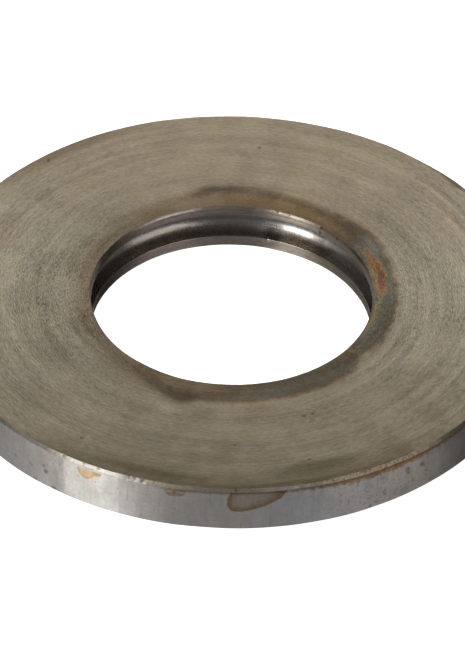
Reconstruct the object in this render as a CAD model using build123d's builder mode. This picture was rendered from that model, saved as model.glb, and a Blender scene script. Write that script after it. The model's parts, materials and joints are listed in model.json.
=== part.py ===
from build123d import *
import os

# Flat washer: one turned steel ring with a full-radius groove inside its bore.
# Millimetres, +Z along the bore axis, origin at the centre of the bottom face.

# Driving dimensions
outer_diameter = 107.95
bore_diameter = 50.80
thickness = 9.1
rim_chamfer = 0.5
bore_chamfer = 0.3
groove_width = 5.0
groove_depth = 3.8
upper_land = 1.8

# Worked out from the driving dimensions
outer_radius = outer_diameter / 2
bore_radius = bore_diameter / 2
groove_top = thickness - upper_land
groove_bottom = groove_top - groove_width
groove_middle = (groove_top + groove_bottom) / 2
groove_end_radius = groove_width / 2
groove_floor = bore_radius + groove_depth
groove_side_end = groove_floor - groove_end_radius

os.makedirs("parts", exist_ok=True)


# The half section is drawn on the XZ plane, with X as the radius, and turned about Z.
with BuildPart() as washer_ring:
    with BuildSketch(Plane.XZ) as half_section:
        with BuildLine() as outline:
            # Lower land, bottom face, rim, top face and upper land, with all four edges broken
            Polyline(
                (groove_side_end, groove_bottom),
                (bore_radius, groove_bottom),
                (bore_radius, bore_chamfer),
                (bore_radius + bore_chamfer, 0),
                (outer_radius - rim_chamfer, 0),
                (outer_radius, rim_chamfer),
                (outer_radius, thickness - rim_chamfer),
                (outer_radius - rim_chamfer, thickness),
                (bore_radius + bore_chamfer, thickness),
                (bore_radius, thickness - bore_chamfer),
                (bore_radius, groove_top),
                (groove_side_end, groove_top),
            )
            # The groove's sides are flat and its floor is a half circle
            ThreePointArc(
                (groove_side_end, groove_top),
                (groove_floor, groove_middle),
                (groove_side_end, groove_bottom),
            )
        make_face()
    revolve(axis=Axis.Z)

washer_ring.part.label = "washer_ring"
export_step(washer_ring.part, "parts/washer_ring.step")
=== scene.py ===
import json
import math

import bmesh
import bpy
from mathutils import Matrix, Vector, noise


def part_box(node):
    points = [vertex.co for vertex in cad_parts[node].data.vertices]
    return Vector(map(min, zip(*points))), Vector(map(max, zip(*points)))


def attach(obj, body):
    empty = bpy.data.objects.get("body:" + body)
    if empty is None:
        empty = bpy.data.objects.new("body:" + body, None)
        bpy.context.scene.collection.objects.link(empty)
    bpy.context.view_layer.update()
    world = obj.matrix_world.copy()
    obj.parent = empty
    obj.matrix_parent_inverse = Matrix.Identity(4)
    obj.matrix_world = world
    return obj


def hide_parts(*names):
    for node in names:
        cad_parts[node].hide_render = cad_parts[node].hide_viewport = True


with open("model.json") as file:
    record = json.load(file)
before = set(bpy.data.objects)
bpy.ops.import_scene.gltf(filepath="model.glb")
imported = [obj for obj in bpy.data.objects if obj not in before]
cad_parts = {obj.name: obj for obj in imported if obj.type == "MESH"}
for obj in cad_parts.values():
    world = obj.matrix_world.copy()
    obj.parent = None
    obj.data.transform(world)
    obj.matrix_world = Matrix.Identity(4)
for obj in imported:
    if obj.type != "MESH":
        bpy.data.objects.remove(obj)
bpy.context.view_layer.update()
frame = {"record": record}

# Sizes in metres. The groove's are the ones in part.py, and the rest come from the frame.
MM = 0.001
mounts = {mount["name"]: mount["dims"] for mount in frame["record"]["mounts"] if mount["dims"]}
low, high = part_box("washer_ring")
THICKNESS = high.z - low.z
BORE_RADIUS = mounts["bore"]["r_mm"] * MM
RIM_RADIUS = mounts["rim"]["r_mm"] * MM
BORE_BREAK = (THICKNESS - mounts["bore"]["length_mm"] * MM) / 2
RIM_BREAK = (THICKNESS - mounts["rim"]["length_mm"] * MM) / 2
GROOVE_WIDTH = 5.0 * MM
GROOVE_DEPTH = 3.8 * MM
UPPER_LAND = 1.8 * MM
GROOVE_TOP = THICKNESS - UPPER_LAND
GROOVE_BOTTOM = GROOVE_TOP - GROOVE_WIDTH

# The same in millimetres, for the materials, with a degree's length along the rim
TOP_MM = THICKNESS / MM
BORE_MM = BORE_RADIUS / MM
RIM_MM = RIM_RADIUS / MM
MM_PER_DEGREE = RIM_MM * math.pi / 180
MM_PER_CM = 10.0

# The ring's mesh: steps round the ring, rows on the groove's floor, and the radius and steps of the small
# rounds on its corners
AROUND = 1000
FLOOR_ROWS = 14
EDGE_ROUND = 0.07 * MM
ROUND_STEPS = 2
# How far a round reaches along each side of a 135 degree corner
ROUND_REACH = EDGE_ROUND * math.tan(math.pi / 8)
# How far a surface's outer rows stay from its ends, and the most that may be as a share of its length
HOLD = 0.12 * MM
HOLD_SHARE = 0.2

# The ring's surfaces, each with its own metal
FACE, RIM, BORE, GROOVE = range(4)


# ---------------------------------------------------------------- camera

# Fitted to the washer's outlines in the photo. Pan, tilt and roll are small turns of its own.
LENS_MM = 256.5
SENSOR_MM = 36
CLIP_START = 0.01
CLIP_END = 20
CAMERA_DISTANCE = 15.3355 * RIM_RADIUS
CAMERA_ELEVATION = math.radians(38.716)
CAMERA_PAN = math.radians(-0.015)
CAMERA_TILT = math.radians(-0.367)
CAMERA_ROLL = math.radians(1.079)


def add_camera():
    """A long lens on the -Y side, looking down at the centre of the top face."""
    data = bpy.data.cameras.new("camera")
    data.lens = LENS_MM
    data.sensor_width = SENSOR_MM
    data.clip_start = CLIP_START
    data.clip_end = CLIP_END
    camera = bpy.data.objects.new("camera", data)
    aim = Matrix.Rotation(math.pi / 2 - CAMERA_ELEVATION, 3, "X")
    pan = Matrix.Rotation(CAMERA_PAN, 3, "Y")
    tilt = Matrix.Rotation(CAMERA_TILT, 3, "X")
    roll = Matrix.Rotation(CAMERA_ROLL, 3, "Z")
    camera.matrix_world = (aim @ pan @ tilt @ roll).to_4x4()
    back = Vector((0, -math.cos(CAMERA_ELEVATION), math.sin(CAMERA_ELEVATION)))
    camera.location = Vector((0, 0, THICKNESS)) + back * CAMERA_DISTANCE
    bpy.context.scene.collection.objects.link(camera)
    bpy.context.scene.camera = camera


# ---------------------------------------------------------------- the ring's shape

# Nicks in the top edges, and in the groove's lower edge: degrees round the ring, depth in millimetres, half
# width in degrees
RIM_NICKS = [
    (-122.0, 0.03, 0.40), (-117.8, 0.02, 0.45), (-114.6, 0.03, 0.40), (-108.6, 0.02, 0.40),
    (-107.4, 0.02, 0.35), (-105.8, 0.02, 0.40), (-88.5, 0.03, 0.50), (-64.0, 0.03, 0.45),
    (-20.0, 0.05, 0.50), (28.0, 0.04, 0.45), (96.0, 0.05, 0.60), (143.0, 0.05, 0.50),
    (-158.0, 0.04, 0.40),
]
BORE_NICKS = [
    (51.0, 0.04, 0.9), (66.0, 0.04, 0.7), (71.0, 0.04, 0.8), (-57.5, 0.07, 0.9), (-86.0, 0.04, 0.8),
    (-131.0, 0.04, 0.8), (10.0, 0.03, 0.8),
]
LAND_NICKS = [(75.5, 0.10, 0.8), (128.0, 0.05, 0.9), (-40.0, 0.08, 0.8)]

# Unevenness of each edge break: share of its size, waves round the ring, seed
RIM_TOP_WAVES = [(0.16, 14, 1), (0.025, 90, 2)]
RIM_BOTTOM_WAVES = [(0.14, 12, 3)]
BORE_TOP_WAVES = [(0.18, 9, 4), (0.03, 60, 5)]
BORE_BOTTOM_WAVES = [(0.18, 8, 6)]
# Brings Blender's noise up to about -1 to 1, and keeps two seeds' slices of it apart
WANDER_GAIN = 1.6
SEED_STEP = 17.3


def nicked(angle, nicks):
    """The depth of the nicks at one angle."""
    turn = math.degrees(angle)
    depth = 0
    for centre, deep, half_width in nicks:
        away = (turn - centre + 180) % 360 - 180
        depth += deep * MM * math.exp(-((away / half_width) ** 2))
    return depth


def wander(angle, waves, seed):
    """Smooth unevenness round the ring, from about -1 to 1, that closes on itself."""
    spot = Vector((math.cos(angle), math.sin(angle), 0)) * waves / 2
    return WANDER_GAIN * noise.noise(spot + Vector((0, 0, SEED_STEP * seed)))


def edge_break(angle, size, waves, nicks=()):
    """How wide one edge's break is at one angle: uneven, and wider at its nicks."""
    uneven = 1 + sum(share * wander(angle, count, seed) for share, count, seed in waves)
    return size * uneven + nicked(angle, nicks)


def rounded_corner(before, corner, after):
    """A small arc in place of one corner of the section."""
    to_before = (before - corner).normalized()
    to_after = (after - corner).normalized()
    half = to_before.angle(to_after) / 2
    reach = EDGE_ROUND / math.tan(half)
    centre = corner + (to_before + to_after).normalized() * EDGE_ROUND / math.sin(half)
    start = corner + to_before * reach - centre
    end = corner + to_after * reach - centre
    sweep = start.angle_signed(end)
    return [centre + Matrix.Rotation(-sweep * i / ROUND_STEPS, 2) @ start for i in range(ROUND_STEPS + 1)]


def stretch(start, end, rows):
    """Points along a straight stretch, without its ends. The outer two stay close to the ends."""
    along = end - start
    near = min(HOLD / along.length, HOLD_SHARE)
    shares = [near] + [near + (1 - 2 * near) * i / (rows + 1) for i in range(1, rows + 1)] + [1 - near]
    return [start + along * share for share in shares]


def groove_floor():
    """The half circle at the groove's floor, from its top to its bottom."""
    end_radius = GROOVE_WIDTH / 2
    centre = Vector((BORE_RADIUS + GROOVE_DEPTH - end_radius, (GROOVE_TOP + GROOVE_BOTTOM) / 2))
    angles = [math.pi / 2 - math.pi * i / FLOOR_ROWS for i in range(FLOOR_ROWS + 1)]
    return [centre + Vector((math.cos(a), math.sin(a))) * end_radius for a in angles]


def section_corners(angle):
    """The section's corners in order: each with the surface that follows, and that surface's middle rows."""
    rim_top = edge_break(angle, RIM_BREAK, RIM_TOP_WAVES, RIM_NICKS)
    rim_bottom = edge_break(angle, RIM_BREAK, RIM_BOTTOM_WAVES)
    bore_top = edge_break(angle, BORE_BREAK, BORE_TOP_WAVES, BORE_NICKS)
    bore_bottom = edge_break(angle, BORE_BREAK, BORE_BOTTOM_WAVES)
    return [
        (Vector((BORE_RADIUS + bore_bottom, 0)), FACE, 4),
        (Vector((RIM_RADIUS - rim_bottom, 0)), RIM, 1),
        (Vector((RIM_RADIUS, rim_bottom)), RIM, 5),
        (Vector((RIM_RADIUS, THICKNESS - rim_top)), RIM, 1),
        (Vector((RIM_RADIUS - rim_top, THICKNESS)), FACE, 8),
        (Vector((BORE_RADIUS + bore_top, THICKNESS)), BORE, 1),
        (Vector((BORE_RADIUS, THICKNESS - bore_top)), BORE, 2),
        (Vector((BORE_RADIUS, GROOVE_TOP)), GROOVE, 1),
        (Vector((BORE_RADIUS, GROOVE_BOTTOM)), BORE, 2),
        (Vector((BORE_RADIUS, bore_bottom)), BORE, 1),
    ]


def section(angle):
    """The ring's outline at one angle: (radius, height) points in order, and the surface after each one."""
    corners = section_corners(angle)
    floor = groove_floor()
    points, surfaces = [], []
    for index, (corner, surface, rows) in enumerate(corners):
        before, before_surface, _ = corners[index - 1]
        after = corners[(index + 1) % len(corners)][0]
        if before_surface == GROOVE:
            arc = rounded_corner(floor[-1], corner, after)
            # Only the small round is chipped, and the surface past it stays in place
            chipped = Vector((nicked(angle, LAND_NICKS), 0))
            points += [spot + chipped for spot in arc]
        elif surface == GROOVE:
            arc = rounded_corner(before, corner, floor[0])
            points += arc
        else:
            arc = rounded_corner(before, corner, after)
            points += arc
        if surface == GROOVE:
            points += stretch(arc[-1], floor[0], rows) + floor + stretch(floor[-1], after, rows)
        else:
            points += stretch(arc[-1], after + (corner - after).normalized() * ROUND_REACH, rows)
        surfaces += [surface] * (len(points) - len(surfaces))
    return points, surfaces


def build_ring(metals):
    """The whole washer as one closed mesh, turned from its section."""
    shape = bmesh.new()
    loops = []
    for step in range(AROUND):
        angle = 2 * math.pi * step / AROUND
        way = Vector((math.cos(angle), math.sin(angle), 0))
        outline, surfaces = section(angle)
        loops.append([shape.verts.new(way * spot.x + Vector((0, 0, spot.y))) for spot in outline])
    for step, loop in enumerate(loops):
        following = loops[(step + 1) % AROUND]
        for i, surface in enumerate(surfaces):
            j = (i + 1) % len(loop)
            face = shape.faces.new((loop[i], following[i], following[j], loop[j]))
            face.smooth = True
            face.material_index = surface
    bmesh.ops.recalc_face_normals(shape, faces=shape.faces)
    mesh = bpy.data.meshes.new("turned_ring")
    shape.to_mesh(mesh)
    shape.free()
    for metal in metals:
        mesh.materials.append(metal)
    ring = bpy.data.objects.new("turned_ring", mesh)
    bpy.context.scene.collection.objects.link(ring)
    return ring


# ---------------------------------------------------------------- stage

# The floor: half its side in metres, then its own grey, its roughness and the light that it gives off
FLOOR_HALF = 4.0
FLOOR_GREY = (0.8, 0.8, 0.8, 1)
FLOOR_ROUGHNESS = 0.6
FLOOR_GLOW = 0.9

# Soft lights: name, azimuth from +X towards +Y, elevation, distance, width, height, radiance
SOFTBOXES = [
    ("key_left", -140, 36, 0.7, 0.30, 0.42, 7.9),
    ("fill_right", -34, 38, 0.7, 0.5, 0.4, 2.2),
    ("back_panel", 90, 16, 0.32, 0.9, 0.22, 0.9),
]


def add_softbox(name, azimuth, elevation, distance, width, height, radiance):
    """A rectangular soft light that faces the washer and isn't seen itself."""
    turn, lift = math.radians(azimuth), math.radians(elevation)
    way = Vector((math.cos(lift) * math.cos(turn), math.cos(lift) * math.sin(turn), math.sin(lift)))
    data = bpy.data.lights.new(name, "AREA")
    data.shape = "RECTANGLE"
    data.size = width
    data.size_y = height
    data.energy = radiance * width * height * math.pi
    lamp = bpy.data.objects.new(name, data)
    lamp.location = way * distance
    lamp.rotation_euler = way.to_track_quat("Z", "Y").to_euler()
    lamp.visible_camera = False
    bpy.context.scene.collection.objects.link(lamp)


def add_floor():
    """A plain pale floor. The metal doesn't mirror it, as the world below the horizon stands in for it."""
    mesh = bpy.data.meshes.new("floor")
    ways = [(-1, -1), (1, -1), (1, 1), (-1, 1)]
    mesh.from_pydata([(x * FLOOR_HALF, y * FLOOR_HALF, low.z) for x, y in ways], [], [(0, 1, 2, 3)])
    floor = bpy.data.objects.new("floor", mesh)
    bpy.context.scene.collection.objects.link(floor)
    floor.visible_glossy = False
    material = bpy.data.materials.new("floor_white")
    material.use_nodes = True
    shader = material.node_tree.nodes["Principled BSDF"]
    shader.inputs["Base Color"].default_value = FLOOR_GREY
    shader.inputs["Roughness"].default_value = FLOOR_ROUGHNESS
    shader.inputs["Emission Color"].default_value = (1, 1, 1, 1)
    shader.inputs["Emission Strength"].default_value = FLOOR_GLOW
    mesh.materials.append(material)


def add_world():
    """The studio round the washer: soft grey all round, by direction, with glows for the metal to mirror."""
    world = bpy.data.worlds.new("studio")
    world.use_nodes = True
    nodes = Nodes(world.node_tree)
    across, depth, rise = nodes.split(world.node_tree.nodes.new("ShaderNodeTexCoord").outputs["Generated"])
    below = nodes.smooth(rise, 0.2, -0.2)
    left = nodes.smooth(across, -0.35, -0.80)
    right = nodes.smooth(across, 0.45, 0.85)
    behind = nodes.smooth(depth, -0.1, 0.5)
    above = nodes.smooth(rise, 0.1, 0.4)
    glow = above * left * nodes.smooth(depth, 0.10, -0.15)
    front = above * nodes.smooth(depth, -0.2, -0.55)
    overhead = nodes.smooth(rise, 0.65, 0.92)
    light = 0.20 + below * (0.07 + left * 0.22 - right * 0.13 - behind * 0.20)
    light = light + glow * 0.42 + front * 0.07 + overhead * 0.12
    nodes.feed(world.node_tree.nodes["Background"].inputs["Color"], light)
    bpy.context.scene.world = world


def add_stage():
    """The floor, the world and the lights, shown with plain colours."""
    add_floor()
    add_world()
    for settings in SOFTBOXES:
        add_softbox(*settings)
    bpy.context.scene.view_settings.view_transform = "Standard"


# ---------------------------------------------------------------- node helpers

# Turns the anisotropy's highlights across the turning marks
QUARTER_TURN = 0.25


class Field:
    """A number that varies over a surface or the sky. Arithmetic on it adds Math nodes to its tree."""

    def __init__(self, nodes, socket):
        self.nodes = nodes
        self.socket = socket

    def __add__(self, other):
        return self.nodes.math("ADD", self, other)

    def __sub__(self, other):
        return self.nodes.math("SUBTRACT", self, other)

    def __rsub__(self, other):
        return self.nodes.math("SUBTRACT", other, self)

    def __mul__(self, other):
        return self.nodes.math("MULTIPLY", self, other)

    def __truediv__(self, other):
        return self.nodes.math("DIVIDE", self, other)

    __radd__ = __add__
    __rmul__ = __mul__


class Nodes:
    """Short calls for one node tree."""

    def __init__(self, tree):
        self.tree = tree

    def feed(self, socket, value):
        """Link a field or another socket to an input socket, or set that input's value."""
        if isinstance(value, Field):
            value = value.socket
        if isinstance(value, bpy.types.NodeSocket):
            self.tree.links.new(value, socket)
        else:
            socket.default_value = value

    def math(self, operation, *values):
        node = self.tree.nodes.new("ShaderNodeMath")
        node.operation = operation
        for socket, value in zip(node.inputs, values):
            self.feed(socket, value)
        return Field(self, node.outputs[0])

    def vector(self, operation, *values, **named):
        node = self.tree.nodes.new("ShaderNodeVectorMath")
        node.operation = operation
        for socket, value in zip(node.inputs, values):
            self.feed(socket, value)
        for name, value in named.items():
            self.feed(node.inputs[name], value)
        return node.outputs["Value" if operation == "DISTANCE" else "Vector"]

    def split(self, vector):
        node = self.tree.nodes.new("ShaderNodeSeparateXYZ")
        self.feed(node.inputs[0], vector)
        return [Field(self, output) for output in node.outputs]

    def join(self, x, y, z):
        node = self.tree.nodes.new("ShaderNodeCombineXYZ")
        for socket, value in zip(node.inputs, (x, y, z)):
            self.feed(socket, value)
        return node.outputs[0]

    def smooth(self, value, start, end):
        """0 at start and 1 at end, with a soft S between them."""
        node = self.tree.nodes.new("ShaderNodeMapRange")
        node.interpolation_type = "SMOOTHSTEP"
        for name, number in (("Value", value), ("From Min", start), ("From Max", end)):
            self.feed(node.inputs[name], number)
        return Field(self, node.outputs[0])

    def band(self, value, start, end, soft):
        """1 between start and end, and 0 outside them."""
        rise = self.smooth(value, start - soft, start + soft)
        return rise * self.smooth(value, end + soft, end - soft)

    def noise(self, vector, scale=1.0, detail=2.0):
        """Noise centred on 0, from about -0.5 to 0.5."""
        node = self.tree.nodes.new("ShaderNodeTexNoise")
        for name, value in (("Vector", vector), ("Scale", scale), ("Detail", detail)):
            self.feed(node.inputs[name], value)
        return Field(self, node.outputs[0]) - 0.5

    def ramp(self, value, stops, smooth=False):
        """A colour read from stops of (position from 0 to 1, colour)."""
        node = self.tree.nodes.new("ShaderNodeValToRGB")
        node.color_ramp.interpolation = "EASE" if smooth else "LINEAR"
        self.feed(node.inputs[0], value)
        elements = node.color_ramp.elements
        for element, (position, colour) in zip(elements, (stops[0], stops[-1])):
            element.position = position
            element.color = (*colour, 1)
        for position, colour in stops[1:-1]:
            elements.new(position).color = (*colour, 1)
        return node.outputs[0]

    def mix(self, share, first, second, mode="MIX"):
        """First, with a share of second mixed or multiplied in."""
        node = self.tree.nodes.new("ShaderNodeMix")
        node.data_type = "RGBA"
        node.blend_type = mode
        self.feed(node.inputs[0], share)
        for socket, colour in ((node.inputs[6], first), (node.inputs[7], second)):
            self.feed(socket, (*colour, 1) if isinstance(colour, tuple) else colour)
        return node.outputs[2]

    def tint(self, colour, share, by):
        """Colour, multiplied by another colour in the places that share gives."""
        return self.mix(share, colour, by, "MULTIPLY")

    def scale(self, colour, field):
        """Colour made lighter or darker by a field near 1."""
        return self.vector("MULTIPLY", colour, self.join(field, field, field))

    def any_of(self, masks):
        """The highest of several masks."""
        highest = masks[0]
        for mask in masks[1:]:
            highest = self.math("MAXIMUM", highest, mask)
        return highest


class Metal(Nodes):
    """One steel surface, with the washer's own coordinates: millimetres, and degrees from +X to +Y."""

    def __init__(self, name):
        self.material = bpy.data.materials.new(name)
        self.material.use_nodes = True
        super().__init__(self.material.node_tree)
        self.shader = self.tree.nodes["Principled BSDF"]
        place = self.tree.nodes.new("ShaderNodeTexCoord").outputs["Object"]
        self.spot = self.vector("SCALE", place, Scale=1 / MM)
        x, y, self.height = self.split(self.spot)
        self.radius = self.math("SQRT", x * x + y * y)
        self.cos = x / self.radius
        self.sin = y / self.radius
        self.angle = self.math("ARCTAN2", y, x) * (180 / math.pi)

    def turned(self, across, fineness, spread, seed, detail=2.0):
        """Noise drawn out along the turning marks: fineness per mm across them, spread per radian along."""
        vector = self.join(across * fineness + seed, self.cos * spread, self.sin * spread)
        return self.noise(vector, detail=detail)

    def oval(self, angle, across, centre, half_angle, half_across):
        """0 at a centre of (angle, height or radius), growing to 1 at an oval's edge."""
        turn = (angle - centre[0]) * (1 / half_angle)
        rise = (across - centre[1]) * (1 / half_across)
        return self.math("SQRT", turn * turn + rise * rise)

    def round_ring(self, angle, stops):
        """A number read from stops of (degrees from -180 to 180, number from 0 to 1)."""
        grey = [((degrees + 180) / 360, (number, number, number)) for degrees, number in stops]
        return Field(self, self.ramp(angle * (1 / 360) + 0.5, grey, smooth=True))

    def near(self, spot, angle, radius, height, size):
        """1 at a place on the ring, falling to 0 at size millimetres from it."""
        turn = math.radians(angle)
        centre = (radius * math.cos(turn), radius * math.sin(turn), height)
        distance = Field(self, self.vector("DISTANCE", spot, centre))
        return self.smooth(distance, size, size * 0.45)

    def warped(self, scale, amount):
        """The place on the ring, shaken by noise, for uneven outlines."""
        node = self.tree.nodes.new("ShaderNodeTexNoise")
        self.feed(node.inputs["Vector"], self.spot)
        self.feed(node.inputs["Scale"], scale)
        shake = self.vector("SUBTRACT", node.outputs["Color"], (0.5, 0.5, 0.5))
        return self.vector("MULTIPLY_ADD", shake, (amount, amount, amount), self.spot)

    def tint_bands(self, colour, angle, bands):
        """Colour, tinted over stretches of (start, end, softness in degrees, tint)."""
        for start, end, soft, by in bands:
            colour = self.tint(colour, self.band(angle, start, end, soft), by)
        return colour

    def beyond(self, field, size, power):
        """How far a field is past 0, as a share of size, to a power. A negative size looks below 0."""
        return self.math("POWER", self.math("MAXIMUM", field * (1 / size), 0.0), power)

    def finish(self, colour, roughness, relief, anisotropy):
        """Connect the shader. Relief is a height in millimetres, and turning marks run round the ring."""
        shader = self.shader.inputs
        self.feed(shader["Base Color"], colour)
        self.feed(shader["Roughness"], roughness)
        shader["Metallic"].default_value = 1.0
        shader["Anisotropic"].default_value = anisotropy
        shader["Anisotropic Rotation"].default_value = QUARTER_TURN
        tangent = self.tree.nodes.new("ShaderNodeTangent")
        tangent.direction_type = "RADIAL"
        tangent.axis = "Z"
        self.feed(shader["Tangent"], tangent.outputs["Tangent"])
        bump = self.tree.nodes.new("ShaderNodeBump")
        bump.inputs["Distance"].default_value = MM
        self.feed(bump.inputs["Height"], relief)
        self.feed(shader["Normal"], bump.outputs["Normal"])
        return self.material


# ---------------------------------------------------------------- materials

# Temper colours, as they tint bare steel from cool to hot
TEMPER = [
    (0.00, (1.00, 1.00, 1.00)),
    (0.16, (0.94, 0.90, 0.84)),
    (0.30, (0.68, 0.62, 0.56)),
    (0.41, (0.51, 0.48, 0.46)),
    (0.50, (0.52, 0.58, 0.61)),
    (0.58, (0.64, 0.71, 0.70)),
    (0.66, (0.84, 0.78, 0.62)),
    (0.74, (1.02, 0.82, 0.52)),
    (0.82, (1.04, 0.62, 0.33)),
    (0.90, (0.78, 0.42, 0.32)),
    (1.00, (0.56, 0.34, 0.44)),
]

# Round the ring, as (degrees, number) stops: how strong the temper colours are just outside the bore
HEAT = [
    (-180, 0.10), (-140, 0.14), (-125, 0.30), (-112, 0.44), (-90, 0.44), (-75, 0.48), (-45, 0.48),
    (-36, 0.32), (-30, 0.45), (-10, 0.47), (0, 0.49), (24, 0.50), (30, 0.52), (34, 0.50), (40, 0.45),
    (50, 0.40), (62, 0.34), (78, 0.38), (90, 0.44), (102, 0.40), (110, 0.20), (140, 0.14), (180, 0.10),
]
# How far out they reach, in centimetres beyond a radius of REACH_FROM
REACH = [
    (-180, 0.90), (-125, 1.00), (-116, 1.12), (-107, 1.26), (-98, 1.14), (-60, 1.12), (-44, 1.10),
    (-36, 0.98), (-25, 1.04), (0, 1.05), (12, 1.05), (24, 1.08), (33, 1.18), (45, 1.16), (56, 1.12),
    (70, 1.16), (84, 1.24), (98, 1.22), (108, 1.10), (116, 0.96), (180, 0.90),
]
REACH_FROM = 2.0
# What is left of them at the bore's edge, above LEAST_KEPT: most at the right, and least at the back
INNER = [
    (-180, 0.50), (-125, 0.60), (-112, 0.15), (-98, 0.05), (-88, 0.35), (-75, 0.60), (-36, 0.60),
    (-28, 0.86), (-10, 0.92), (0, 0.86), (31, 0.74), (42, 0.40), (56, 0.15), (66, 0.0), (104, 0.0),
    (118, 0.30), (180, 0.50),
]
LEAST_KEPT = 0.3

# The hottest places: (angle, radius) of the middle, half length in degrees, half width in millimetres,
# extra heat. They lean by LEAN degrees for each millimetre that they are outside a radius of LEAN_FROM.
HOT_SPOTS = [
    ((11.5, 27.4), 13, 1.5, 0.50),
    ((24, 27.2), 9, 1.3, 0.27),
    ((-9, 26.0), 15, 0.9, 0.14),
]
LEAN_FROM = 27.5
LEAN = 5.0

# Each metal's colour before its marks and stains
FACE_COLOUR = (0.50, 0.437, 0.325)
RIM_COLOUR = (0.62, 0.595, 0.565)
BORE_COLOUR = (0.37, 0.318, 0.268)
GROOVE_COLOUR = (0.255, 0.243, 0.230)


def heat(metal):
    """The temper colours' strength on the face, from 0 to 1: hottest just outside the bore."""
    angle = metal.angle + metal.noise(metal.spot, 0.35, 3) * 10.0
    radius = metal.radius + metal.noise(metal.spot, 0.45, 3) * 1.8
    reach = (metal.round_ring(angle, REACH) + REACH_FROM) * MM_PER_CM
    outward = metal.smooth(radius - reach, 0.8, -2.0)
    inward = metal.smooth(radius - reach, -1.6, -4.4)
    kept = 1.0 - inward * (1.0 - LEAST_KEPT - metal.round_ring(angle, INNER))
    speckle = metal.noise(metal.spot, 3.0, 2) * 0.26
    strength = metal.round_ring(angle, HEAT) + metal.noise(metal.spot, 0.9, 3) * 0.26 + speckle
    leaning = angle - (radius - LEAN_FROM) * LEAN
    spots = [
        metal.smooth(metal.oval(leaning, radius, centre, half_angle, half_width), 1.15, 0.1) * extra
        for centre, half_angle, half_width, extra in HOT_SPOTS
    ]
    return strength * outward * kept + metal.any_of(spots) * (1.0 + speckle * 2.0)


def face_marks(metal):
    """The turning marks on the faces: two sets of fine strokes that cross, long ones, and grain."""
    drift = metal.noise(metal.spot, 0.35, 1)
    fine = metal.turned(metal.radius + drift * 0.8, 5.6, 36, 3, 1)
    cross = metal.turned(metal.radius - drift * 1.6, 4.8, 48, 7, 1)
    long = metal.turned(metal.radius, 2.2, 4, 11, 2)
    grain = metal.noise(metal.spot, 5.0, 2)
    return fine, cross, long, grain


# Tones round the faces: start, end and softness in degrees, and the tint
FACE_BANDS = [
    (35, 140, 25, (0.96, 0.91, 0.87)),
    (32, 88, 16, (0.93, 0.93, 0.93)),
    (-130, -92, 14, (0.83, 0.83, 0.83)),
    (-135, -30, 16, (0.96, 0.93, 0.90)),
]

# Smudges on the faces: (angle, radius) of the middle, half length in degrees, half width in millimetres,
# and tint
FACE_SMUDGES = [
    ((70, 27.0), 46, 4.8, (0.87, 0.78, 0.65)),
    ((94, 31.0), 11, 1.7, (0.75, 0.80, 0.87)),
    ((42, 29.9), 12, 3.0, (0.66, 0.62, 0.61)),
    ((-107.5, 30.2), 9, 3.6, (0.72, 0.68, 0.66)),
    ((-60, 29.8), 26, 1.6, (0.84, 0.80, 0.78)),
    ((-72, 49.6), 13, 2.6, (0.64, 0.63, 0.60)),
    ((-106, 51.2), 16, 1.8, (0.74, 0.70, 0.62)),
    ((-92, 46.5), 18, 1.1, (0.90, 0.88, 0.86)),
    ((-80, 52.9), 30, 0.9, (0.82, 0.78, 0.72)),
    ((128, 53.0), 26, 3.0, (0.72, 0.66, 0.60)),
    ((40, 53.6), 12, 1.2, (0.55, 0.50, 0.45)),
    ((-152, 36.0), 14, 4.0, (0.86, 0.84, 0.84)),
    ((158, 45.0), 10, 5.0, (0.90, 0.87, 0.84)),
    ((38, 33.8), 18, 2.8, (0.88, 0.88, 0.88)),
    ((-70, 35.5), 26, 4.5, (0.93, 0.93, 0.93)),
    ((-80, 35.5), 14, 6.0, (0.91, 0.90, 0.89)),
    ((-141, 46.0), 12, 6.0, (0.84, 0.83, 0.82)),
    ((-38, 38.0), 10, 3.5, (0.87, 0.87, 0.87)),
    ((-42, 48.5), 10, 3.0, (0.87, 0.87, 0.86)),
    ((16, 35.0), 16, 5.0, (0.89, 0.89, 0.89)),
    ((20, 29.9), 9, 1.6, (0.70, 0.68, 0.67)),
]

# Pits and small dark spots on the top face: angle, radius and size in millimetres
FACE_PITS = [
    (-69, 36.4, 0.9), (-66.5, 36.2, 0.7), (-88.5, 42.1, 0.6), (-57.5, 25.9, 0.6), (-38, 27.3, 0.6),
    (19.5, 39.7, 0.6), (84, 43.8, 0.6), (80, 43.7, 0.5), (33, 49.7, 0.5), (46, 48.6, 0.5),
    (-15.5, 34.0, 0.5), (-122, 48.1, 0.6), (-73, 47.5, 0.5), (132, 51.8, 0.9),
]


def aged_face(metal, colour, patch):
    """Slow changes of tone over a face: warm and cool clouds, darker stretches, and soot near the bore."""
    warm = metal.smooth(metal.noise(metal.spot, 0.24, 3), 0.0, 0.24)
    cool = metal.smooth(metal.noise(metal.spot, 0.30, 3), 0.0, -0.22)
    colour = metal.tint(colour, warm * 0.6, (1.03, 0.97, 0.88))
    colour = metal.tint(colour, cool * 0.8, (0.96, 0.97, 0.99))
    angle = metal.angle + patch * 40.0
    colour = metal.tint_bands(colour, angle, FACE_BANDS)
    outer = metal.band(angle, -122, -48, 16) * metal.smooth(metal.radius, 37, 44)
    colour = metal.tint(colour, outer, (0.88, 0.88, 0.87))
    soot = metal.smooth(metal.radius + patch * 4.0, 32.0, 26.0)
    return metal.tint(colour, soot, (0.72, 0.67, 0.62))


def smudged_face(metal, colour, patch):
    """The larger marks on a face, placed one by one."""
    angle = metal.angle + patch * 12.0
    radius = metal.radius + patch * 2.0
    for centre, half_angle, half_width, smudge in FACE_SMUDGES:
        oval = metal.oval(angle, radius, centre, half_angle, half_width)
        colour = metal.tint(colour, metal.smooth(oval, 1.0, 0.2), smudge)
    return colour


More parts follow.
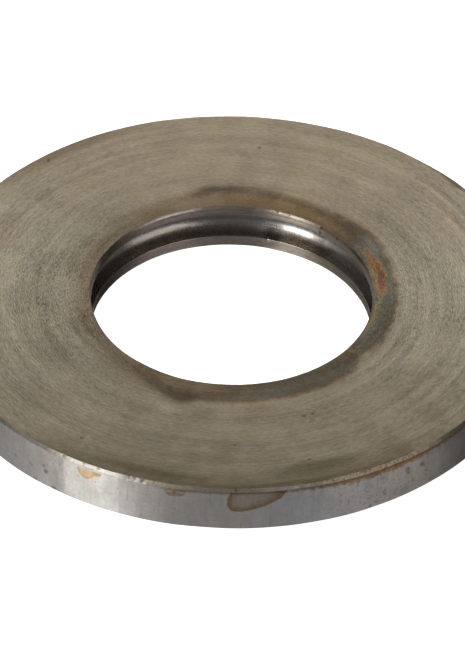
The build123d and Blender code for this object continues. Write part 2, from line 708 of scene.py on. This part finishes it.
def pitted_face(metal, colour):
    """Pits in the top face, and one small dark ring close to the bore."""
    shaken = metal.warped(1.1, 1.1)
    pits = [metal.near(shaken, angle, radius, TOP_MM, size * 0.65) for angle, radius, size in FACE_PITS]
    colour = metal.tint(colour, metal.any_of(pits) * 0.75, (0.42, 0.36, 0.30))
    dot = metal.oval(metal.angle, metal.radius, (-38.2, 27.4), 1.8, 0.85)
    return metal.tint(colour, metal.band(dot, 0.75, 0.95, 0.15) * 0.8, (0.66, 0.58, 0.50))


def face_steel():
    """The two flat faces: satin steel turned on a lathe, olive with age, tempered round the bore."""
    metal = Metal("face_steel")
    fine, cross, long, grain = face_marks(metal)
    patch = metal.noise(metal.spot, 0.20, 2)
    cloud = metal.noise(metal.spot, 0.09, 2)
    front = metal.band(metal.angle + patch * 16.0, -130, -48, 14)
    # The marks show more at the left and right, where the lights graze them: in the colour this is painted
    # shading, and in the relief it gives real bumps.
    across_light = metal.cos * metal.cos
    sides = 0.60 + across_light * across_light * 0.52
    strokes = (fine + cross * 0.72 + long * (0.55 + front * 0.2) + grain * 0.6) * sides
    near_right = metal.smooth(metal.cos, 0.55, 0.9)
    near_left = metal.smooth(metal.cos, -0.3, -0.8) * metal.smooth(metal.radius, 42, 28)
    ring_strength = 0.42 + near_left * 0.15 + near_right * 0.40 - front * 0.12
    rings = metal.turned(metal.radius, 0.55, 1.5, 21, 1) * ring_strength
    shade = 1.0 + strokes + patch * 0.32 + cloud * 0.36 + rings - near_left * 0.16
    colour = aged_face(metal, metal.scale(FACE_COLOUR, shade), patch)
    hot = heat(metal)
    colour = metal.tint(colour, 1.0, metal.ramp(hot, TEMPER))
    colour = smudged_face(metal, colour, patch)
    edge = metal.smooth(metal.radius + long * 3.0, 47.5, 53.5)
    colour = metal.tint(colour, edge * front, (0.68, 0.66, 0.60))
    colour = pitted_face(metal, colour)
    roughness = 0.44 + fine * 0.12 + patch * 0.10 - hot * 0.05
    relief = (fine * 0.050 + cross * 0.032 + long * 0.016 + grain * 0.010) * sides
    return metal.finish(colour, roughness, relief, anisotropy=0.6)


# The long drip: degrees round the rim, and the height in millimetres that it starts from
DRIP_ANGLE = -85.7
DRIP_TOP = 8.6

# Small joined rings on the rim: (angle, height) of the middle, half width and half height in millimetres
RIM_RINGS = [
    ((-98.9, 8.0), 1.15, 0.90),
    ((-100.7, 7.6), 0.95, 0.75),
    ((-99.8, 7.3), 1.50, 0.35),
]

# Tones round the rim, and round its broken edge: start, end and softness in degrees, and the tint
RIM_BANDS = [
    (-107, -80, 5, (1.17, 1.17, 1.17)),
    # Painted shade: this band dims the left half of the rim's bright band of reflected light.
    (-124, -115, 2, (0.88, 0.88, 0.87)),
    (-74, -66, 3, (0.85, 0.81, 0.79)),
]
EDGE_BANDS = [
    (-97, -84, 2, (0.72, 0.70, 0.67)),
    (-104, -78, 2, (0.92, 0.92, 0.92)),
]


def long_drip(metal, colour, angle, height):
    """A long brown drip: steep on its left, and drawn out to the right."""
    down = DRIP_TOP - height
    along = (angle - DRIP_ANGLE) * MM_PER_DEGREE + down * 0.4
    reach = metal.beyond(along, 6.2, 1.2) + metal.beyond(along, -3.6, 2.5) + metal.beyond(down, 4.4, 2.4)
    inside = metal.smooth(reach, 1.05, 0.93)
    outline = inside * metal.smooth(reach, 0.20, 0.90)
    runs = metal.smooth(metal.turned(metal.height, 0.3, 70, 4), -0.1, 0.25)
    colour = metal.tint(colour, inside, (0.82, 0.75, 0.68))
    colour = metal.tint(colour, inside * runs, (0.93, 0.89, 0.85))
    return metal.tint(colour, outline, (0.72, 0.60, 0.45))


def tan_drop(metal, colour, angle, height):
    """A pale tan drop that hangs from a flat top, with a tail to the right and an orange lower edge."""
    drop = metal.oval(angle, height, (-117.1, 8.1), 1.9, 2.2)
    tail = metal.oval(angle, height, (-115.0, 7.9), 1.3, 0.6)
    flat_top = metal.smooth(height, 8.3, 8.0)
    inside = metal.smooth(metal.math("SMOOTH_MIN", drop, tail, 0.3), 1.0, 0.82) * flat_top
    colour = metal.tint(colour, inside, (0.96, 0.80, 0.56))
    return metal.tint(colour, inside * metal.smooth(drop, 0.60, 0.92), (0.90, 0.76, 0.52))


def small_rings(metal, colour, angle, height):
    """Small rings, joined and mottled."""
    mottled = metal.smooth(metal.noise(metal.spot, 1.6, 2), -0.22, 0.12)
    for centre, half_width, half_height in RIM_RINGS:
        ring = metal.oval(angle, height, centre, half_width / MM_PER_DEGREE, half_height)
        colour = metal.tint(colour, metal.smooth(ring, 1.15, 0.70), (0.90, 0.81, 0.72))
        colour = metal.tint(colour, metal.band(ring, 0.65, 0.95, 0.25) * mottled, (0.83, 0.72, 0.60))
    return colour


def top_rust(metal, colour, angle, height):
    """Brown under the rim's top edge, and rust that thickens to the right."""
    line = metal.smooth(height, 7.8, 8.35) * metal.band(angle, -104, -40, 3)
    colour = metal.tint(colour, line * 0.8, (0.74, 0.62, 0.50))
    depth = metal.smooth(angle, -80, -66) * metal.smooth(angle, -44, -54)
    speckle = metal.noise(metal.spot, 1.8, 3) * 2.2
    rust = metal.smooth(height + depth * 0.75 + speckle, 7.8, 8.6) * metal.smooth(angle, -84, -76)
    colour = metal.tint(colour, rust, (0.70, 0.52, 0.34))
    crease = metal.band(height, 8.35, 8.65, 0.12) * metal.band(angle, -99, -79, 3)
    return metal.tint(colour, crease, (0.66, 0.62, 0.58))


def broken_edge(metal, colour):
    """The rim's broken top edge: rubbed, not tan, at the left, and grainy and tan to the right of that. Away
    from its front it carries painted shade that dims its highlights.
    """
    rubbed = metal.smooth(metal.angle, -102, -108)
    front = metal.band(metal.angle, -103, -77, 2.4)
    crumbs = metal.noise(metal.spot, 2.8, 2)
    # All but its front leans towards a light, and is painted darker there: painted shade that keeps its
    # highlight from glaring
    colour = metal.tint(colour, 1.0 - front, (0.51, 0.50, 0.48))
    colour = metal.tint(colour, 1.0 - rubbed, (0.96, 0.88, 0.76))
    colour = metal.tint_bands(colour, metal.angle, EDGE_BANDS)
    colour = metal.tint(colour, metal.smooth(metal.angle, -124, -129), (1.28, 1.28, 1.28))
    colour = metal.scale(colour, 1.0 + crumbs * 0.6)
    rusted = metal.smooth(crumbs, 0.02, -0.16) * metal.band(metal.angle, -74, -52, 4)
    return metal.tint(colour, rusted, (0.66, 0.50, 0.38))


def rim_stains(metal, colour):
    """Old drips and rust on the rim, and its broken edge above them."""
    angle = metal.angle + metal.noise(metal.spot, 0.8, 2) * 0.7
    height = metal.height + metal.noise(metal.spot, 0.9, 2) * 0.5
    stains_and_painted_shade = colour
    for stain in (long_drip, tan_drop, small_rings, top_rust):
        stains_and_painted_shade = stain(metal, stains_and_painted_shade, angle, height)
    edge = metal.smooth(metal.height + metal.noise(metal.spot, 2.2, 2) * 0.3, 8.45, 8.65)
    return metal.mix(edge, stains_and_painted_shade, broken_edge(metal, colour))


# Rust specks on the rim: angle, height, size in millimetres and strength
RIM_SPECKS = [
    (-125.9, 3.7, 0.7, 1.0), (-126.3, 4.8, 0.5, 0.6), (-124.0, 0.8, 0.6, 1.0), (-128.4, 0.9, 0.6, 0.6),
    (-133.5, 3.3, 0.4, 0.6), (-129.4, 3.6, 0.5, 0.4), (-51.6, 5.9, 0.7, 0.9), (-51.0, 5.4, 0.5, 0.7),
    (-55.0, 6.2, 0.6, 0.8), (-54.7, 5.2, 0.5, 0.6), (-56.8, 4.6, 0.4, 0.5), (-60.0, 3.4, 0.6, 0.6),
    (-59.8, 2.6, 0.5, 0.7), (-62.8, 1.2, 0.5, 0.9), (-61.6, 1.5, 0.5, 0.7), (-58.2, 5.4, 0.4, 0.5),
    (-53.4, 3.0, 0.4, 0.5), (-49.5, 1.4, 0.4, 0.5), (-64.8, 3.6, 0.4, 0.4), (-57.6, 1.6, 0.4, 0.5),
]


def rim_tones(metal, colour, cloud):
    """Changes of tone round the rim, with painted shade that gives the bright band of reflected light at the
    left its crisp ends, and a painted reflection just right of the front.
    """
    streak = metal.turned(metal.height, 0.18, 85, 14, 1)
    colour = metal.tint(colour, metal.smooth(streak, 0.12, 0.24) * 0.6, (0.86, 0.78, 0.70))
    colour = metal.tint_bands(colour, metal.angle, RIM_BANDS)
    # Painted reflection: a bluish band with a paler bluish patch in it, as of a light that the rim mirrors.
    painted_bluish_reflection = metal.band(metal.angle + cloud * 30.0, -82, -64, 5)
    colour = metal.tint(colour, painted_bluish_reflection, (0.94, 0.98, 1.06))
    painted_pale_reflection = metal.oval(metal.angle + cloud * 6.0, metal.height, (-68, 6.2), 4.0, 2.4)
    colour = metal.tint(colour, metal.smooth(painted_pale_reflection, 1.0, 0.5), (1.06, 1.08, 1.12))
    brown = metal.smooth(metal.noise(metal.spot, 0.27, 3), 0.02, -0.22)
    colour = metal.tint(colour, brown * 0.7, (1.0, 0.93, 0.86))
    # Painted shade: darkens the rim just past each end of the bright band of reflected light, so that the
    # band ends crisply.
    painted_shade_left_of_band = metal.smooth(metal.angle, -121.6, -122.2) * metal.smooth(metal.angle, -131, -123)
    colour = metal.tint(colour, painted_shade_left_of_band, (0.76, 0.75, 0.74))
    painted_shade_right_of_band = metal.smooth(metal.angle, -110.8, -110.2) * metal.smooth(metal.angle, -104, -110)
    colour = metal.tint(colour, painted_shade_right_of_band, (0.84, 0.84, 0.84))
    right = metal.smooth(metal.angle + cloud * 12.0, -71, -62)
    return metal.tint(colour, right, (0.83, 0.80, 0.78))


def specked_rim(metal, colour):
    """Rust specks, dirt and painted shade in the edge's nicks, and dust and haze at the right."""
    shaken = metal.warped(1.8, 1.0)
    specks = [
        metal.near(shaken, angle, RIM_MM, height, size) * strength
        for angle, height, size, strength in RIM_SPECKS
    ]
    colour = metal.tint(colour, metal.any_of(specks) * 0.8, (0.48, 0.34, 0.28))
    # The nicks are darker: dirt in them, and painted shade in their hollows that dims their glints.
    nicks = [metal.near(shaken, angle, RIM_MM - 0.4, TOP_MM, 0.5) for angle, _, _ in RIM_NICKS]
    colour = metal.tint(colour, metal.any_of(nicks) * 0.8, (0.46, 0.38, 0.31))
    dusty = metal.band(metal.angle, -71, -47, 3) * 0.07
    dust = metal.smooth(metal.noise(metal.spot, 1.5, 2) + dusty, 0.19, 0.27)
    colour = metal.tint(colour, dust * 0.7, (0.62, 0.47, 0.39))
    haze = metal.smooth(metal.noise(metal.spot, 0.8, 3), 0.03, 0.20) * metal.band(metal.angle, -65, -49, 4)
    return metal.tint(colour, haze * 0.6, (0.84, 0.73, 0.64))


def rim_steel():
    """The rim: brighter turned steel, with faint marks round it, clouds of grey, drips and rust."""
    metal = Metal("rim_steel")
    marks = metal.turned(metal.height, 4.0, 40, 5)
    bands = metal.turned(metal.height, 0.25, 60, 8)
    cloud = metal.noise(metal.spot, 0.32, 3)
    grain = metal.noise(metal.spot, 1.7, 3)
    wear_and_painted_shade = 1.0 - metal.band(metal.angle, -104, -76, 4)
    shade = 1.0 + marks * 0.16 + bands * 0.22 + cloud * 0.30 + grain * (0.26 + wear_and_painted_shade * 0.14)
    colour = rim_tones(metal, metal.scale(RIM_COLOUR, shade), cloud)
    colour = specked_rim(metal, rim_stains(metal, colour))
    roughness = 0.39 + cloud * 0.10 + grain * 0.08
    relief = marks * 0.004 + grain * (0.004 + wear_and_painted_shade * 0.006)
    return metal.finish(colour, roughness, relief, anisotropy=1.0)


# Rust spots near the top of the bore: angle, height and size in millimetres
BORE_SPOTS = [
    (51.2, 9.0, 0.55), (51.1, 7.9, 0.50), (66.0, 9.0, 0.3), (71.0, 9.0, 0.35), (41.5, 8.8, 0.4),
]

# Two darker lines round the upper land, at these heights in millimetres
UPPER_LINES = [8.36, 7.66]

# Tones round the lands: start, end and softness in degrees, and the tint
BORE_BANDS = [
    (104, 136, 6, (1.0, 0.94, 1.02)),
    # Painted shade, with a real olive tint: this band dims the world's glow where the lands mirror it.
    (36, 54, 5, (0.88, 0.86, 0.79)),
]


def bore_edge(metal, colour):
    """The bore's broken top edge, from the bright line at its foot (brow) to its upper half (lip). Its tints
    are painted shade and painted highlight that shape the lights' reflections on it.
    """
    # Painted shade: the edge is darker where the lights reflect in it, and much darker at the left and
    # right, where it mirrors the back panel.
    edge = metal.smooth(metal.height, TOP_MM - 0.36, TOP_MM - 0.26)
    colour = metal.tint(colour, edge * metal.band(metal.angle, 40, 90, 10), (0.70, 0.69, 0.66))
    colour = metal.tint(colour, edge * metal.smooth(metal.angle, 118, 128), (0.76, 0.76, 0.76))
    colour = metal.tint(colour, edge * metal.band(metal.angle, 73, 79, 2), (0.84, 0.83, 0.82))
    sides = metal.smooth(metal.cos * metal.cos, 0.58, 0.80)
    colour = metal.tint(colour, edge * sides, (0.50, 0.47, 0.43))
    # Painted highlight: a brighter line at the edge's foot, where the lights reflect.
    painted_brow_highlight = metal.band(metal.height, 8.62, 8.95, 0.06)
    colour = metal.tint(colour, painted_brow_highlight * metal.band(metal.angle, 60, 73, 3), (1.55, 1.50, 1.42))
    colour = metal.tint(colour, painted_brow_highlight * metal.band(metal.angle, 106, 131, 4), (1.34, 1.37, 1.37))
    # Painted shade: the edge's upper half is darker where the lights reflect.
    painted_lip_shade = metal.smooth(metal.height, 8.86, 8.96)
    colour = metal.tint(colour, painted_lip_shade * metal.band(metal.angle, 107, 128, 4), (0.76, 0.76, 0.76))
    return metal.tint(colour, painted_lip_shade * metal.band(metal.angle, 57, 70, 3), (0.88, 0.91, 0.95))


def bore_steel():
    """The bore's two lands and its edges: fine turning lines, browned by age."""
    metal = Metal("bore_steel")
    lines = metal.turned(metal.height, 2.4, 4, 2)
    chatter = metal.turned(metal.height, 1.2, 22, 9)
    grain = metal.noise(metal.spot, 1.8, 3)
    cloud = metal.noise(metal.spot, 0.3, 2)
    shade = 1.0 + lines * 0.75 + chatter * 0.50 + grain * 0.40 + cloud * 0.32
    colour = metal.scale(BORE_COLOUR, shade)
    angle = metal.angle + cloud * 20.0
    colour = metal.tint_bands(colour, angle, BORE_BANDS)
    # Painted shade: the lower land is dimmed where it mirrors the world's glow.
    low_land = metal.smooth(metal.height, 4.0, 3.0) * metal.band(angle, 36, 66, 6)
    colour = metal.tint(colour, low_land, (0.86, 0.86, 0.86))
    colour = bore_edge(metal, colour)
    ridges = metal.any_of([metal.band(metal.height, line - 0.07, line + 0.07, 0.07) for line in UPPER_LINES])
    colour = metal.tint(colour, ridges * metal.band(metal.angle, 58, 126, 8), (0.70, 0.70, 0.71))
    shaken = metal.warped(1.5, 0.6)
    spots = [metal.near(shaken, angle, BORE_MM, height, size) for angle, height, size in BORE_SPOTS]
    colour = metal.tint(colour, metal.any_of(spots) * 0.85, (0.36, 0.22, 0.15))
    roughness = 0.40 + grain * 0.10
    relief = lines * 0.012 + chatter * 0.006 + grain * 0.003
    return metal.finish(colour, roughness, relief, anisotropy=0.95)


def groove_painted_light(metal, colour):
    """Painted shade and painted highlight in the groove, which shape the lights' reflections in it."""
    upper = metal.smooth(metal.height, 3.25, 3.65)
    lower = metal.smooth(metal.height, 3.5, 3.2)
    # Painted shade: trims the left end of the key light's reflection.
    stains_and_painted_shade = metal.band(metal.angle, 53.5, 59.3, 1.6) * metal.smooth(metal.height, 2.55, 3.2)
    colour = metal.tint(colour, stains_and_painted_shade, (0.46, 0.45, 0.43))
    # Painted highlight: brightens the upper right of that reflection.
    painted_highlight = metal.band(metal.angle, 66, 80, 2) * upper
    colour = metal.tint(colour, painted_highlight, (1.38, 1.38, 1.37))
    # Painted shade: trims the lower right of that reflection.
    wear_and_painted_shade = metal.band(metal.angle, 70.8, 77.2, 1.6) * lower
    colour = metal.tint(colour, wear_and_painted_shade, (0.42, 0.42, 0.42))
    # Painted highlight along the groove's lower edge, brightest near a nick.
    painted_edge_highlight = metal.band(metal.height, 2.38, 2.75, 0.12)
    colour = metal.tint(colour, painted_edge_highlight * metal.band(metal.angle, 61, 81, 3), (1.42, 1.38, 1.36))
    colour = metal.tint(colour, painted_edge_highlight * metal.band(metal.angle, 70, 74.5, 2), (1.85, 1.85, 1.85))
    # Painted shade: dims the lower part of the fill light's reflection.
    painted_lower_shade = metal.band(metal.angle, 104, 138, 4) * lower
    return metal.tint(colour, painted_lower_shade, (0.84, 0.84, 0.83))


def groove_steel():
    """The groove: smoother, darker and slightly streaked round the ring."""
    metal = Metal("groove_steel")
    lines = metal.turned(metal.height, 2.6, 4, 6)
    marks = metal.turned(metal.height, 1.6, 16, 16)
    grain = metal.noise(metal.spot, 1.2, 1)
    shade = 1.0 + lines * 0.60 + marks * 0.45 + grain * 0.20
    colour = metal.scale(GROOVE_COLOUR, shade)
    low_wall = metal.smooth(metal.height, 3.15, 2.65)
    colour = metal.tint(colour, low_wall, (1.52, 1.47, 1.40))
    rust = metal.band(metal.angle + grain * 14.0, 50, 68, 4) * metal.smooth(metal.height, 2.60, 2.33)
    colour = metal.tint(colour, rust, (0.76, 0.62, 0.46))
    colour = metal.tint(colour, metal.band(metal.angle, 102, 142, 6), (1.0, 0.94, 0.91))
    colour = groove_painted_light(metal, colour)
    roughness = 0.27 + grain * 0.06
    relief = lines * 0.008 + marks * 0.005 + grain * 0.002
    return metal.finish(colour, roughness, relief, anisotropy=0.7)


# ---------------------------------------------------------------- the washer

add_camera()
metals = [face_steel(), rim_steel(), bore_steel(), groove_steel()]
ring = build_ring(metals)
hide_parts("washer_ring")
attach(ring, "root")
add_stage()
